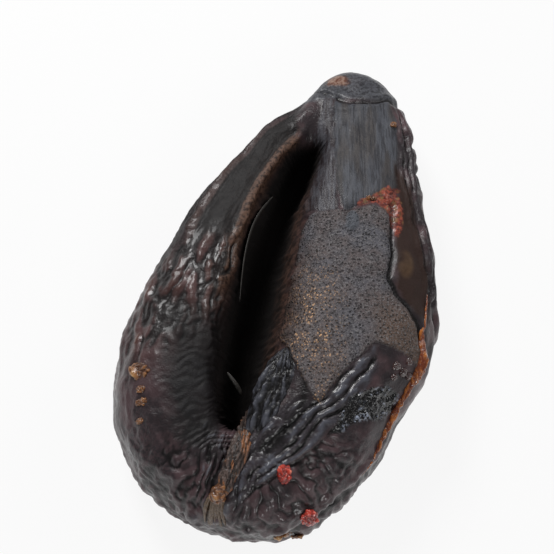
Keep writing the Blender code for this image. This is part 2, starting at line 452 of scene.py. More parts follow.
def wrinkle_relief(s):
    """Wrinkles of the shrunken skin on the tail's half and the bend: accordion pleats over the slot's rim,
    arches nested above the fin's end, long folds further along, and short ones on the outer side."""
    pleat_zone = between(s.section, 14.6, 17.2, 0.5) * between(s.row, 2.9, 5.9, 0.7)
    waver = 1.3 * lattice_noise(in_plan(s.along / 9, s.across / 8), 5)
    swell = 0.45 + 0.5 * lattice_noise(s.points / 5.0, 6)
    lift = 1.1 * swell * pleat_zone * (pleats(s.along / 4.1 + waver) - 0.7)
    arch, _, _ = line_distance(s.x, s.y, ARCH_SPINE)
    arch_zone = between(s.x, -29, -12.5, 2.0) * between(s.y, -90, -60, 2.5)
    arch_zone = arch_zone * (1.0 - smoothstep(13, 17, arch))
    waver = lattice_noise(in_plan(s.x / 7, s.y / 9), 8)
    lift += 1.1 * arch_zone * (pleats(arch / 2.7 + waver) - 0.7)
    tail_zone = between(s.section, 16.4, 18.9, 0.5) * between(s.row, 3.4, 7.8, 0.8)
    lift += tail_zone * (3.2 * folded(s, 24.0, 8.0, 12, 0.35, 2) + 0.8 * folded(s, 5.0, 5.0, 14, 0.5, 2))
    flank_zone = between(s.section, 9.0, 14.6, 0.7) * between(s.row, 4.4, 9.2, 0.9) * (1.0 - s.nape)
    lift += 3.2 * flank_zone * folded(s, 5.0, 12.0, 17, 0.6)
    outer_zone = between(s.section, 13.8, 20.0, 0.8) * between(s.row, 5.8, 9.4, 0.8)
    lift += outer_zone * folded(s, 9.0, 5.0, 19, 0.7)
    return lift * s.upper


def tail_relief(s):
    """The tail's flat facet above the slot, between its raised inner lip and the fin's edge."""
    ends = between(s.section, 18.8, 22.6, 0.5)
    lip = bell(s.row - 4.1 - 0.25 * s.wobble, 0.28)
    facet = between(s.row, 4.5, 6.3, 0.25)
    edge = bell(s.row - 6.7 - 0.15 * s.wobble, 0.22)
    scratches = folded(s, 18.0, 3.0, 43, 0.3, 2)
    return ends * (1.3 * lip - facet * (1.2 - 0.5 * scratches) + 1.1 * edge) * s.upper


def fin_ray_relief(s):
    """The tail fin, dried down flat on the outside of the loop up to the snout: fine lengthwise rays."""
    zone = between(s.section, 19.2, 23.2, 0.6) * between(s.row, 6.9, 9.6, 0.4)
    waver = 0.9 * lattice_noise(in_plan(s.along / 16, s.across / 6), 23)
    rays = 0.5 * (pleats(s.across / 2.6 + waver) - 0.6)
    return zone * (rays + 0.6 * folded(s, 30.0, 4.0, 24, 0.2, 2)) * s.upper


def worn_relief(s):
    """Dents and swellings all over, from the place alone, so that they agree where the sides meet."""
    return 1.5 * rough_noise(s.points / 21.0, 3, 2) + 0.5 * rough_noise(s.points / 6.5, 9, 3)


def shrunken_relief(s):
    """Two hollows where the skin has shrunk in: beside the snout, and on the flank behind the cheek."""
    lift = np.zeros(s.x.shape)
    for (x, y), size in HOLLOWS:
        lift -= 3.6 * bell(np.hypot(s.x - x, s.y - y), size)
    return lift * between(s.row, 5.6, 11.0, 0.7)


def creased_relief(s):
    """Shallow creases on the lower flanks and the belly, and upright folds on the slot's walls."""
    low, slot = smoothstep(7.6, 9.2, s.row), between(s.row, 1.2, 3.8, 0.6)
    return 1.1 * low * folded(s, 14.0, 5.5, 27) + 2.4 * slot * folded(s, 5.0, 24.0, 29)


def slit_relief(s):
    """The slit along the lower flank where the fish was gutted: two lips with a groove between."""
    gap, share, _ = line_distance(s.x, s.y, SLIT_LINE)
    zone = between(s.row, 7.6, 10.0, 0.5) * tapered(share, 0.05, 0.94)
    return zone * (0.9 * bell(gap - 1.4, 0.9) - 1.3 * bell(gap, 0.7))


def mouth_relief(s):
    """The shut mouth: a groove round the snout's front, below a rounded lip."""
    front = 1.0 - between(s.section, 3.2, 22.6, 0.5)
    height = s.row - 8.3 - 0.08 * s.wobble
    return front * (0.7 * bell(height + 0.42, 0.24) - 2.0 * bell(height, 0.11))


def shape_skin(s):
    """Moves the skin's points along their normals by the sum of the reliefs, and keeps that sum for the
    materials, which paint shade into the creases."""
    s.wobble = 1.1 * lattice_noise(s.points / 6.0, 51)
    s.nape = smoothstep(-3.0, 2.0, region(s.x, s.y, NAPE) + s.wobble)
    s.burnt = smoothstep(-1.5, 2.0, region(s.x, s.y, BURNT_PATCH) + s.wobble)
    s.folds = head_relief(s) + nape_relief(s) * (1.0 - s.burnt) + burnt_relief(s)
    s.folds += wrinkle_relief(s) + tail_relief(s) + fin_ray_relief(s) + slit_relief(s) + mouth_relief(s)
    lift = (s.folds + creased_relief(s)) * s.seam_fade + worn_relief(s) + shrunken_relief(s)
    s.shaped = s.points + lift[..., None] * s.normals
    s.shaped[..., 2] = np.maximum(s.shaped[..., 2], 0.0)


# ---- Where each finish lies on the skin ----
def skin_masks(s):
    """The attributes that the skin's material reads: distances in millimetres to outlines, positive
    inside them, and weights from 0 to 1."""
    x, y = s.x, s.y
    below = (1.0 - s.upper) * 12.0
    in_slot = 1.0 - smoothstep(3.0, 4.1, s.row)
    plate_end, _, _ = line_distance(x, y, PLATE_END)
    masks = {
        "shield": region(x, y, HEAD_SHIELD) - below - 5.0 * in_slot,
        "golden": (1.0 - smoothstep(-14.0, 12.0, y)) * (1.0 - smoothstep(14.0, 30.0, x)),
        "tan": (1.0 - smoothstep(-22.0, -4.0, y)) * smoothstep(32.0, 42.0, x),
        "plate": region(x, y, FRONT_PLATE) - below,
        "side_plate": region(x, y, SIDE_PLATE) - below,
        "nape": region(x, y, NAPE) - below,
        "cheek": region(x, y, CHEEK) - below,
        "cheek_oval": 3.0 * (1.0 - in_radii(x, y, *CHEEK_OVAL)) - below,
        "burnt": region(x, y, BURNT_PATCH) - below,
        "red": np.maximum(region(x, y, RED_TISSUE) + 0.4, 0.9 - plate_end - 20.0 * (x < 31)) - below,
        "scab": 3.0 * (1.0 - in_radii(x, y, *SCAB)) - below,
        "slot": 1.0 - smoothstep(2.6, 3.9 + 0.5 * smoothstep(14.0, 17.0, s.section), s.row),
        "head_wall": between(s.section, 3.0, 9.5, 1.5) * smoothstep(1.6, 3.4, s.row),
        # Painted shadow: where the skin's colour is blackened along the lobe's edge.
        "lobe_edge_shadow": bell(line_distance(x, y, LOBE_EDGE)[0], 1.6) * s.upper,
        "folds": s.folds,
        "tail_brown": between(s.section, 16.3, 21.3, 0.7) * between(s.row, 3.0, 7.6, 0.8),
        "tail_facet": between(s.section, 18.9, 22.3, 0.4) * between(s.row, 3.9, 6.4, 0.3),
        "tail_lip": between(s.section, 17.4, 22.6, 0.5) * bell(s.row - 4.0, 0.80),
        "fin": between(s.section, 18.4, 23.6, 0.7) * between(s.row, 6.5, 9.8, 0.3),
        "pleats": between(s.section, 13.9, 17.2, 0.6) * between(s.row, 2.8, 6.0, 0.7),
        "arches": between(x, -30, -12, 2.5) * between(y, -92, -60, 3.0) * s.upper,
        "flank": between(s.section, 8.5, 20.0, 0.8) * smoothstep(5.6, 7.6, s.row),
        "snout": smoothstep(79.5, 82.0, y + 0.5 * s.wobble) * s.upper,
        "apex": 4.5 - np.hypot(x - 25.0, 1.3 * (y - 92.0)) - 0.3 * below,
    }
    return {name: np.clip(value, -8.0, 8.0) for name, value in masks.items()}


# ---- Making meshes ----
def skin_faces(columns, rows):
    """Quads between neighbouring lines of the skin's grid, and from its last column to the first."""
    index = np.arange(columns * rows).reshape(columns, rows)
    following = np.roll(index, -1, 0)
    quads = np.stack([index[:, :-1], index[:, 1:], following[:, 1:], following[:, :-1]], -1)
    return quads.reshape(-1, 4)


def tube_faces(rings, around):
    """Quads between neighbouring rings of a tube or ball, each ring closed on itself."""
    index = np.arange(rings * around).reshape(rings, around)
    following = np.roll(index, -1, 1)
    return np.stack([index[:-1], following[:-1], following[1:], index[1:]], -1).reshape(-1, 4)


def weld(points, faces):
    """Merges points that lie in one place, and drops the corners and faces that this closes up."""
    _, first, place = np.unique(np.round(points, 3), axis=0, return_index=True, return_inverse=True)
    faces = place.reshape(-1)[faces]
    corners = [face[face != np.roll(face, 1)] for face in faces[np.any(faces == np.roll(faces, 1, 1), 1)]]
    whole = faces[~np.any(faces == np.roll(faces, 1, 1), 1)]
    return first, whole.tolist() + [face.tolist() for face in corners if len(face) > 2]


def signed_volume(points, faces):
    """Six times the volume that the faces enclose, negative where they face inwards."""
    fan = np.array([(f[0], f[k], f[k + 1]) for f in faces for k in range(1, len(f) - 1)])
    a, b, c = points[fan[:, 0]], points[fan[:, 1]], points[fan[:, 2]]
    return float(np.einsum("ij,ij->", a, np.cross(b, c)))


def make_piece(name, points, faces, material, attributes=()):
    """A piece of the fish from points in millimetres: smooth, facing outwards, and riding on the body."""
    points = np.asarray(points, float).reshape(-1, 3)
    kept, faces = weld(points, np.asarray(faces))
    points = points[kept]
    if signed_volume(points, faces) < 0:
        faces = [face[::-1] for face in faces]
    mesh = bpy.data.meshes.new(name)
    mesh.from_pydata((points * MM).tolist(), [], faces)
    for key, values in dict(attributes).items():
        layer = mesh.attributes.new(key, "FLOAT", "POINT")
        layer.data.foreach_set("value", np.asarray(values, np.float32).reshape(-1)[kept])
    mesh.shade_smooth()
    mesh.materials.append(material)
    piece = bpy.data.objects.new(name, mesh)
    bpy.context.scene.collection.objects.link(piece)
    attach(piece, "root")
    return piece


# ---- Materials ----
class Value:
    """A number on its way through a material. Arithmetic on it adds Math nodes."""

    def __init__(self, recipe, socket):
        self.recipe = recipe
        self.socket = socket

    def __add__(self, other):
        return self.recipe.maths("ADD", self, other)

    def __radd__(self, other):
        return self.recipe.maths("ADD", other, self)

    def __sub__(self, other):
        return self.recipe.maths("SUBTRACT", self, other)

    def __rsub__(self, other):
        return self.recipe.maths("SUBTRACT", other, self)

    def __mul__(self, other):
        return self.recipe.maths("MULTIPLY", self, other)

    def __rmul__(self, other):
        return self.recipe.maths("MULTIPLY", other, self)

    def above(self, low, high):
        """0 below low, 1 above high and smooth between."""
        settings = {"interpolation_type": "SMOOTHSTEP"}
        inputs = {"Value": self, "From Min": low, "From Max": high}
        return self.recipe.node("ShaderNodeMapRange", settings, inputs)


class Recipe:
    """One material's node tree around its Principled BSDF."""

    def __init__(self, name, **constants):
        self.material = bpy.data.materials.new(name)
        self.material.use_nodes = True
        self.tree = self.material.node_tree
        self.shader = self.tree.nodes["Principled BSDF"]
        for socket, value in constants.items():
            self.shader.inputs[socket.replace("_", " ")].default_value = value
        self.place = self.node("ShaderNodeTexCoord", output="Object")

    def put(self, socket, value):
        """Links a value to a socket, or sets a constant on it."""
        if isinstance(value, Value):
            self.tree.links.new(value.socket, socket)
        else:
            socket.default_value = value

    def node(self, kind, settings=(), inputs=(), output=0):
        """Adds a node: its settings first, then its sockets' values or links. Gives one output."""
        made = self.tree.nodes.new(kind)
        for key, value in dict(settings).items():
            setattr(made, key, value)
        for key, value in dict(inputs).items():
            self.put(made.inputs[key], value)
        return Value(self, made.outputs[output])

    def maths(self, operation, a, b):
        """Two numbers joined by a Math node's operation."""
        return self.node("ShaderNodeMath", {"operation": operation}, {0: a, 1: b})

    def mask(self, name):
        """One of the mesh's own attributes."""
        return self.node("ShaderNodeAttribute", {"attribute_name": name}, output="Fac")

    def spread(self, size, stretch=(1, 1, 1), shift=0.0):
        """Coordinates for a pattern whose features are about size millimetres across."""
        scale = [1.0 / (size * MM * k) for k in stretch]
        inputs = {"Vector": self.place, "Scale": scale, "Location": (shift, 2 * shift, 3 * shift)}
        return self.node("ShaderNodeMapping", inputs=inputs)

    def noise(self, size, detail=3.0, rough=0.5, stretch=(1, 1, 1), shift=0.0):
        """Noise of 0 to 1 whose patches are about size millimetres across."""
        place = self.spread(size, stretch, shift)
        inputs = {"Vector": place, "Scale": 1.0, "Detail": detail, "Roughness": rough}
        return self.node("ShaderNodeTexNoise", inputs=inputs)

    def cells(self, size, shift=0.0):
        """Distances from 0 in a cellular pattern whose cells are about size millimetres across."""
        inputs = {"Vector": self.spread(size, shift=shift), "Scale": 1.0}
        return self.node("ShaderNodeTexVoronoi", inputs=inputs, output="Distance")

    def mix(self, factor, under, over):
        """The colour over laid on the colour under by the factor."""
        under, over = (c if isinstance(c, Value) else (*c, 1.0) for c in (under, over))
        settings = {"data_type": "RGBA", "clamp_factor": True}
        return self.node("ShaderNodeMix", settings, {0: factor, 6: under, 7: over}, output=2)

    def most(self, *values):
        """The largest of some numbers."""
        largest = values[0]
        for value in values[1:]:
            largest = self.maths("MAXIMUM", largest, value)
        return largest

    def finish(self, colour, roughness=None, height=None, coat=None):
        """Feeds the shader: colour, roughness, coat and a bump of the height in millimetres."""
        self.put(self.shader.inputs["Base Color"], colour)
        if roughness is not None:
            self.put(self.shader.inputs["Roughness"], roughness)
        if coat is not None:
            self.put(self.shader.inputs["Coat Weight"], coat)
        if height is not None:
            bump = self.node("ShaderNodeBump", inputs={"Height": height, "Distance": MM, "Strength": 1.0})
            self.put(self.shader.inputs["Normal"], bump)
        return self.material


# Near black: the fin's own dark band, and painted shade in the creases, the pleats, the gaps between ridges
# and along the lobe's edge.
SOOT_AND_SHADE_BLACK = (0.0060, 0.0052, 0.0056)
DARK_SKIN = (0.030, 0.023, 0.026)
PURPLE_BROWN = (0.088, 0.054, 0.059)
RED_BROWN = (0.098, 0.036, 0.024)
SLATE = (0.088, 0.091, 0.112)
PALE_SLATE = (0.125, 0.128, 0.145)
BONE_BROWN = (0.125, 0.090, 0.078)
TAN = (0.120, 0.080, 0.062)
GOLD = (0.66, 0.40, 0.22)
CHEEK_BROWN = (0.026, 0.011, 0.007)
OVAL_AMBER = (0.095, 0.052, 0.026)
# The slot's colours: near black as painted shade in the deep slot, and brown for the head's wall, its own
# colour made lighter as painted light.
SLOT_SHADE_BLACK = (0.0050, 0.0034, 0.0030)
SLOT_WALL_BROWN_AND_LIGHT = (0.115, 0.058, 0.042)
CHAR = (0.0045, 0.0045, 0.0055)
# Pale blue-white specks: painted glints on the burnt patch.
GLINT_BLUE_WHITE = (0.36, 0.40, 0.50)
TAIL_LIP_DARK, TAIL_LIP_TAN = (0.034, 0.018, 0.013), (0.150, 0.083, 0.056)
FACET_DARK, FACET_BROWN = (0.030, 0.023, 0.022), (0.092, 0.072, 0.066)
SNOUT_DARK, SNOUT_SLATE = (0.030, 0.031, 0.036), (0.088, 0.091, 0.104)
APEX_RED, APEX_PALE = (0.15, 0.055, 0.032), (0.30, 0.185, 0.135)
SCAB_SLATE, SCAB_PALE = (0.070, 0.074, 0.086), (0.110, 0.117, 0.135)
FLESH_DARK, FLESH_RED, FLESH_AMBER = (0.10, 0.020, 0.017), (0.34, 0.075, 0.045), (0.22, 0.115, 0.045)

# The patterns that several finishes share. Raised marks the folds' tops and sunken their creases, where
# painted shade goes.
Grain = namedtuple("Grain", "patches fine speckle wander streaks pits raised sunken")


def edge(r, g, name, soft=0.7, ragged=3.0):
    """1 inside a mask's outline, which the grain makes ragged by some millimetres."""
    return (r.mask(name) + ragged * g.wander).above(-soft, soft)


def trunk_colours(r, g):
    """Purple-brown skin, red-brown over the tail, black where it is pleated, slate on the nape. The pleats'
    black and the lobe's black edge are painted shade, and the lighter fold tops painted highlights.
    """
    colour = r.mix(g.patches.above(0.42, 0.62), DARK_SKIN, PURPLE_BROWN)
    colour = r.mix(r.mask("flank") * 0.6 * g.fine.above(0.40, 0.62), colour, PURPLE_BROWN)
    # Red-brown over the tail, weaker in the creases between its folds: painted shade there.
    colour = r.mix(r.mask("tail_brown") * (0.35 + 0.65 * g.raised), colour, RED_BROWN)
    colour = r.mix(r.mask("fin") * 0.95, colour, r.mix(g.fine.above(0.45, 0.62), SOOT_AND_SHADE_BLACK, DARK_SKIN))
    facet = r.mix(g.fine.above(0.38, 0.60), FACET_DARK, FACET_BROWN)
    colour = r.mix(r.mask("tail_facet") * 0.95, colour, facet)
    lip = r.mix(g.fine.above(0.36, 0.60), TAIL_LIP_DARK, TAIL_LIP_TAN)
    colour = r.mix(r.mask("tail_lip") * 0.95, colour, lip)
    # The pleats beside the slot are painted near black as painted shade, with faint slate on their ridges as
    # a painted highlight.
    pleated = r.mask("pleats")
    colour = r.mix(pleated * 0.95, colour, SOOT_AND_SHADE_BLACK)
    colour = r.mix(pleated * g.raised * 0.14, colour, SLATE)
    # Pale slate on the arches' ridges: a painted highlight.
    colour = r.mix(r.mask("arches") * g.raised * 0.9, colour, PALE_SLATE)
    nape = r.mask("nape").above(-1.0, 1.5)
    colour = r.mix(nape * 0.9, colour, DARK_SKIN)
    # Slate on the nape, mostly on its folds' tops: painted sheen.
    colour = r.mix(nape * (0.12 + 0.88 * g.raised), colour, SLATE)
    # Painted shadow: black along the lobe's edge.
    return r.mix(r.mask("lobe_edge_shadow") * 0.95, colour, SOOT_AND_SHADE_BLACK)


def head_colours(r, g, colour):
    """Slate plates with lengthwise streaks, and the pitted shield: slate, tan and golden-flecked."""
    snout = r.mix(g.fine.above(0.36, 0.62), SNOUT_DARK, SNOUT_SLATE)
    colour = r.mix(r.mask("snout") * 0.9, colour, snout)
    apex = edge(r, g, "apex", 1.6, 7.0)
    colour = r.mix(apex * 0.85, colour, r.mix(g.fine.above(0.4, 0.6), APEX_RED, APEX_PALE))
    bands = r.noise(5.0, 3, 0.5, stretch=(1, 5, 2), shift=5.5)
    side = edge(r, g, "side_plate")
    colour = r.mix(side, colour, r.mix(g.streaks.above(0.38, 0.64), DARK_SKIN, (0.085, 0.084, 0.096)))
    plate = edge(r, g, "plate", 0.5, 2.4)
    plate_colour = r.mix(bands.above(0.40, 0.62), (0.058, 0.052, 0.052), (0.076, 0.080, 0.094))
    plate_colour = r.mix((1.0 - g.streaks.above(0.38, 0.56)) * 0.8, plate_colour, (0.024, 0.024, 0.029))
    colour = r.mix(plate, colour, plate_colour)

    shield = edge(r, g, "shield")
    pits = g.pits.above(0.22, 0.50)
    mottle = r.noise(3.2, 3, 0.6, shift=7.1)
    bony = r.mix(g.patches.above(0.40, 0.60), (0.104, 0.102, 0.117), (0.108, 0.088, 0.088))
    bony = r.mix((1.0 - mottle.above(0.34, 0.56)) * 0.55, bony, (0.042, 0.040, 0.045))
    bony = r.mix(r.mask("tan"), bony, TAN)
    clusters = r.noise(6.0, 3, 0.6, shift=6.1).above(0.38, 0.62)
    golden = r.mask("golden")
    bony = r.mix(golden * (0.4 + 0.6 * clusters), bony, BONE_BROWN)
    bony = r.mix((1.0 - pits) * g.fine.above(0.38, 0.56) * 0.85, bony, (0.016, 0.015, 0.016))
    bony = r.mix((1.0 - g.fine.above(0.34, 0.44)) * 0.7, bony, (0.030, 0.028, 0.030))
    bony = r.mix(g.speckle.above(0.50, 0.64) * 0.6, bony, (0.21, 0.20, 0.205))
    flecks = (1.0 - r.cells(1.1, shift=2.4).above(0.26, 0.40)) * g.fine.above(0.42, 0.50) * clusters
    bony = r.mix(golden * flecks, bony, GOLD)
    colour = r.mix(shield, colour, bony)
    scab = r.mix(g.fine.above(0.4, 0.6), SCAB_SLATE, SCAB_PALE)
    colour = r.mix(edge(r, g, "scab", 0.6, 2.4), colour, scab)
    colour = r.mix(edge(r, g, "cheek", 1.2) * 0.95, colour, CHEEK_BROWN)
    oval = r.mix(g.patches.above(0.35, 0.6), CHEEK_BROWN, OVAL_AMBER)
    return r.mix(r.mask("cheek_oval").above(-0.4, 1.6), colour, oval)


def skin_material():
    """The whole fish's smoked skin: soot-dark and brown, slate grey on the bony head, with glossy folds,
    golden flecks on the shield, and amber and red where the flesh shows. Painted shade darkens the creases
    and the slot, the slot's head wall is a lighter brown as painted light, and pale specks on the burnt
    patch are painted glints."""
    r = Recipe("smoked_skin", Coat_Roughness=0.08, Specular_IOR_Level=0.28)
    folds = r.mask("folds")
    g = Grain(
        patches=r.noise(14, 3, 0.55, shift=1.3),
        fine=r.noise(1.3, 4, 0.6, shift=4.1),
        speckle=r.noise(0.7, 2, 0.5, shift=7.7),
        wander=r.noise(3.5, 3, 0.6, shift=2.9) - 0.5,
        streaks=r.noise(1.1, 4, 0.62, stretch=(1, 12, 3), shift=3.3),
        pits=r.cells(1.25, shift=9.2),
        raised=folds.above(-0.2, 0.8),
        sunken=1.0 - folds.above(-0.9, -0.25),
    )
    colour = head_colours(r, g, trunk_colours(r, g))
    burnt, slot = edge(r, g, "burnt", 1.0), r.mask("slot")
    shield, plate, side = edge(r, g, "shield"), edge(r, g, "plate"), edge(r, g, "side_plate")
    # Painted glints: pale blue-white specks scattered over the burnt patch, in place of the lamps'
    # reflections on its crumpled glossy surface.
    painted_glints = g.fine.above(0.48, 0.56) * r.noise(6.0, 2, 0.5, shift=8.8).above(0.44, 0.52)
    colour = r.mix(burnt, colour, r.mix(painted_glints, CHAR, GLINT_BLUE_WHITE))
    # Painted shade: the creases between the folds are blackened.
    colour = r.mix(g.sunken * 0.92, colour, SOOT_AND_SHADE_BLACK)
    # In the slot: near black as painted shade, and on the head's wall brown stripes, partly the wall's own
    # brown and partly painted light.
    stripes = r.noise(2.4, 3, 0.6, stretch=(1, 1, 6), shift=4.7).above(0.42, 0.62)
    slot_colour = r.mix(r.mask("head_wall") * (0.25 + 0.75 * stripes), SLOT_SHADE_BLACK, SLOT_WALL_BROWN_AND_LIGHT)
    colour = r.mix(slot, colour, slot_colour)
    red = edge(r, g, "red", 0.5, 3.2)
    flesh = r.mix(g.fine.above(0.38, 0.60), FLESH_DARK, FLESH_RED)
    flesh = r.mix(g.wander.above(0.02, 0.16), flesh, FLESH_AMBER)
    colour = r.mix(red * (0.45 + 0.55 * folds.above(-0.9, 0.1)), colour, flesh)

    roughness = 0.36 + 0.30 * (g.fine - 0.5)
    matt = r.most(r.mask("pleats"), r.mask("fin"), r.mask("tail_facet"), edge(r, g, "cheek", 1.2))
    for share, finish in ((shield, 0.58), (plate, 0.52), (burnt, 0.10), (slot, 0.85), (matt, 0.60)):
        roughness = roughness + share * (finish - roughness)
    wet = r.most(r.mask("flank"), r.mask("nape").above(-1.0, 1.5))
    coat = 0.06 + 0.22 * wet + 0.16 * r.mask("tail_brown") * g.patches.above(0.3, 0.6)
    coat = coat + 0.9 * burnt + 0.25 * red
    coat = coat * (1.0 - matt) * (1.0 - side)
    coat = coat * (1.0 - 0.9 * shield) * (1.0 - 0.8 * plate) * (1.0 - slot)

    height = 0.22 * g.fine + 0.14 * g.speckle
    height = height + shield * (0.45 * g.pits.above(0.1, 0.5) + 0.45 * g.speckle)
    height = height + 0.40 * (plate + side) * g.streaks
    height = height + 1.3 * burnt * r.cells(1.9, shift=5.0)
    return r.finish(colour, roughness, height, coat)


# ---- The small pieces: flesh, fin and bone that stand clear of the skin ----
def smooth_route(points, count):
    """A cubic B-spline through about the given points: count points, from the first to the last."""
    points = np.array(points, float)
    padded = np.concatenate([[2 * points[0] - points[1]], points, [2 * points[-1] - points[-2]]])
    at = np.linspace(0.0, len(points) - 1.0, count)
    span = np.minimum(np.floor(at).astype(int), len(points) - 2)
    weights = spline_weights(at - span)
    return sum(weights[:, k, None] * padded[span + k] for k in range(4))


def carried_profile(route, widths, heights, lines, around):
    """An oval profile carried upright along a route. At the share t of the route its half width and half
    height are read from the two lists, times √(1 − |2t − 1|⁶), which brings both ends
    to a point. Gives the points, their outward directions, t and the angle round the profile."""
    path = smooth_route(route, lines)
    t = np.linspace(0.0, 1.0, lines)
    angle = 2.0 * math.pi * np.arange(around) / around
    ahead = np.gradient(path, axis=0)
    ahead /= np.linalg.norm(ahead, axis=1, keepdims=True)
    aside = np.cross(ahead, np.array([0.0, 0.0, 1.0]))
    aside /= np.linalg.norm(aside, axis=1, keepdims=True)
    upward = np.cross(aside, ahead)
    stations = np.linspace(0.0, 1.0, len(widths))
    closing = np.sqrt(np.clip(1.0 - np.abs(2.0 * t - 1.0) ** 6, 0.0, 1.0))
    wide = (np.interp(t, stations, widths) * closing)[:, None, None]
    high = (np.interp(t, stations, heights) * closing)[:, None, None]
    cosine, sine = np.cos(angle)[None, :, None], np.sin(angle)[None, :, None]
    spokes = wide * cosine * aside[:, None] + high * sine * upward[:, None]
    points = path[:, None] + spokes
    outward = spokes / np.maximum(np.linalg.norm(spokes, axis=-1, keepdims=True), 1e-6)
    return points, outward, t[:, None] + 0 * angle, angle + 0 * t[:, None]


def carried_piece(name, shape, lift, material, attributes=()):
    """Makes a piece of a carried profile whose points are moved outwards by the lift."""
    points, outward, t, _ = shape
    ends = np.minimum(1.0, 8.0 * np.minimum(t, 1.0 - t))
    points = points + (lift * ends)[..., None] * outward
    return make_piece(name, points, tube_faces(*t.shape), material, attributes)


def nape_lobe():
    """The lobe of folded nape skin that hangs over the slot beside the head shield: a wide, flat tongue
    with folds fanning from its tip."""
    route = [
        (3.5, -29.5, 42.5), (3.0, -35, 43.0), (1.6, -43, 42.5), (-0.5, -52, 41.5), (-4.0, -60, 39.5),
        (-8, -67, 38),
    ]
    half_widths = [1.6, 5.6, 8.4, 9.2, 8.5, 5.0]
    half_heights = [1.8, 3.2, 3.8, 4.2, 4.0, 3.0]
    shape = carried_profile(route, half_widths, half_heights, 170, 140)
    points, _, t, angle = shape
    bent = 0.4 * rough_noise(points / 8.0, 91)[..., None]
    place = np.stack([3.4 * t, 3.3 * np.cos(angle), 0.6 * np.sin(angle)], -1) + bent
    folds = billows(place, 92, 3) - 0.28
    lift = 2.6 * folds * smoothstep(0.0, 0.2, t) + 0.35 * rough_noise(points / 2.4, 93, 2)
    return carried_piece("nape_lobe", shape, lift, folded_skin_material(), {"ridge": 2.2 * folds})


def fin_strip():
    """The stub of the dorsal fin: a rough strip that climbs out of the slot's end and runs down the bend."""
    route = [
        (-10.5, -48, 22), (-11.0, -54, 31), (-11.5, -59.5, 38.5), (-13, -66, 42.3), (-15.5, -73, 42.3),
        (-19, -81, 40.6), (-21, -86, 38),
    ]
    half_widths = [0.8, 2.0, 3.0, 3.7, 3.5, 3.2, 2.2]
    half_heights = [1.0, 1.4, 1.9, 2.1, 2.0, 1.8, 1.4]
    shape = carried_profile(route, half_widths, half_heights, 230, 84)
    points, _, t, angle = shape
    bent = 0.35 * rough_noise(points / 4.0, 96)[..., None]
    rays = np.stack([4.5 * t, 2.6 * np.cos(angle), np.sin(angle)], -1) + bent
    lift = 2.4 * (billows(rays, 97, 3) - 0.28) + 0.4 * rough_noise(points / 1.3, 99, 2)
    return carried_piece("fin_strip", shape, lift, fin_material(), {"ridge": lift})


LUMP_RINGS, LUMP_AROUND = 48, 96


def lump(name, skin, place, radii, seed, crumple, material, above=0.0):
    """A crumpled lump on the skin: an oval ball standing on the skin's normal, whose points move outwards
    by billows of noise."""
    centre, normal = skin.on_skin(place, above)
    turned = np.array(Vector(normal).to_track_quat("Z", "Y").to_matrix())
    polar = np.linspace(0.0, math.pi, LUMP_RINGS)[:, None]
    turn = 2.0 * math.pi * np.arange(LUMP_AROUND)[None, :] / LUMP_AROUND
    flat = np.sin(polar)
    ball = np.stack([flat * np.cos(turn), flat * np.sin(turn), np.cos(polar) + 0 * turn], -1)
    points = centre + (ball * np.array(radii)) @ turned.T
    lift = crumple * (3.0 * billows(points / (0.8 * max(radii)), seed, 3) - 0.6)
    points = points + lift[..., None] * (ball @ turned.T)
    return make_piece(name, points, tube_faces(LUMP_RINGS, LUMP_AROUND), material, {"ridge": lift})


def slit_flesh(skin, material):
    """Flesh that bulges from the slit on the lower flank: a strip laid on the skin, wide and glossy by
    the cheek, and thinning out round the bend."""
    route = [skin.on_skin(place, 0.3)[0] for place in SLIT_FLESH_ROUTE]
    half_widths = [0.5, 0.7, 1.5, 3.0, 3.1, 1.8, 1.1, 1.5, 1.5, 0.9, 0.6, 0.3]
    half_heights = [0.5, 0.6, 0.9, 1.5, 1.5, 1.0, 0.8, 1.0, 0.9, 0.6, 0.5, 0.3]
    shape = carried_profile(route, half_widths, half_heights, 260, 40)
    lift = 1.2 * (billows(shape[0] / (2.5, 6.0, 2.5), 141, 3) - 0.3)
    return carried_piece("slit_flesh", shape, lift, material, {"ridge": lift})


FIBRES = 16


def fin_fibres(skin, material):
    """Dried fin rays that fray from the strip's lower end: tapering strands that fan down the bend."""
    draw = np.random.default_rng(7)
    for number in range(FIBRES):
        fan = draw.uniform(-1.0, 1.0)
        place = (-20.8 + 2.4 * fan, -82.5 + draw.uniform(-1.5, 1.5), 38.8)
        start, _ = skin.on_skin(place, 1.2)
        place = (-22.6 + 3.4 * fan, -88.0 + draw.uniform(-1.5, 1.5), 34.0)
        middle, _ = skin.on_skin(place, draw.uniform(0.2, 1.4))
        place = (-22.0 + 5.0 * fan, -92.5 + draw.uniform(-3.5, 2.5), 27.0)
        end, _ = skin.on_skin(place, draw.uniform(-0.2, 0.7))
        thick = draw.uniform(0.35, 1.0)
        sizes = [thick, thick, 0.4 * thick]
        shape = carried_profile([start, middle, end], sizes, sizes, 40, 12)
        lift = 0.25 * rough_noise(shape[0] / 0.9, 103 + number, 2)
        carried_piece(f"fin_fibre_{number}", shape, lift, material, {"ridge": lift})


